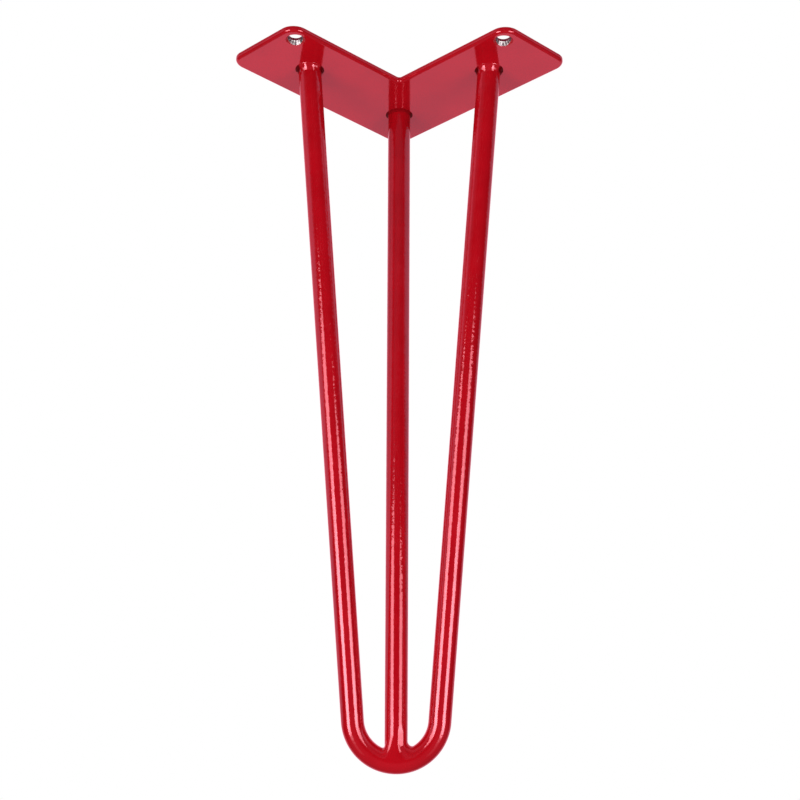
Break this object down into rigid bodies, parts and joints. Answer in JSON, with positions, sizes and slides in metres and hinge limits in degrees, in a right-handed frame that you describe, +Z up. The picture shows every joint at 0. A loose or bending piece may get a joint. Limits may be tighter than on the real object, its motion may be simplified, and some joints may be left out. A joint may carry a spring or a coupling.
{
  "type": "hairpin table leg",
  "caption": "Hairpin table leg in glossy red steel: a bent rod and a straight rod meet at a rounded foot and are welded under an L-shaped plate that screws to a tabletop.",
  "frame": {"origin": "on the plate's top face, which meets the tabletop, above the middle of the corner rod's seat", "axes": "+Z up out of the plate's top face, +Y along the plate's diagonal towards its outer corner and the foot, +X across the leg, parallel to the hairpin's plane"},
  "size_m": [0.1702, 0.1611, 0.35],
  "materials": {
    "red_coat": "gloss powder coat"
  },
  "bodies": {
    "root": {"mounting_plate": "red_coat", "hairpin_rod": "red_coat", "corner_rod": "red_coat", "left_plate_weld": "red_coat", "right_plate_weld": "red_coat", "corner_plate_weld": "red_coat", "left_foot_weld": "red_coat", "right_foot_weld": "red_coat"}
  },
  "joints": []
}
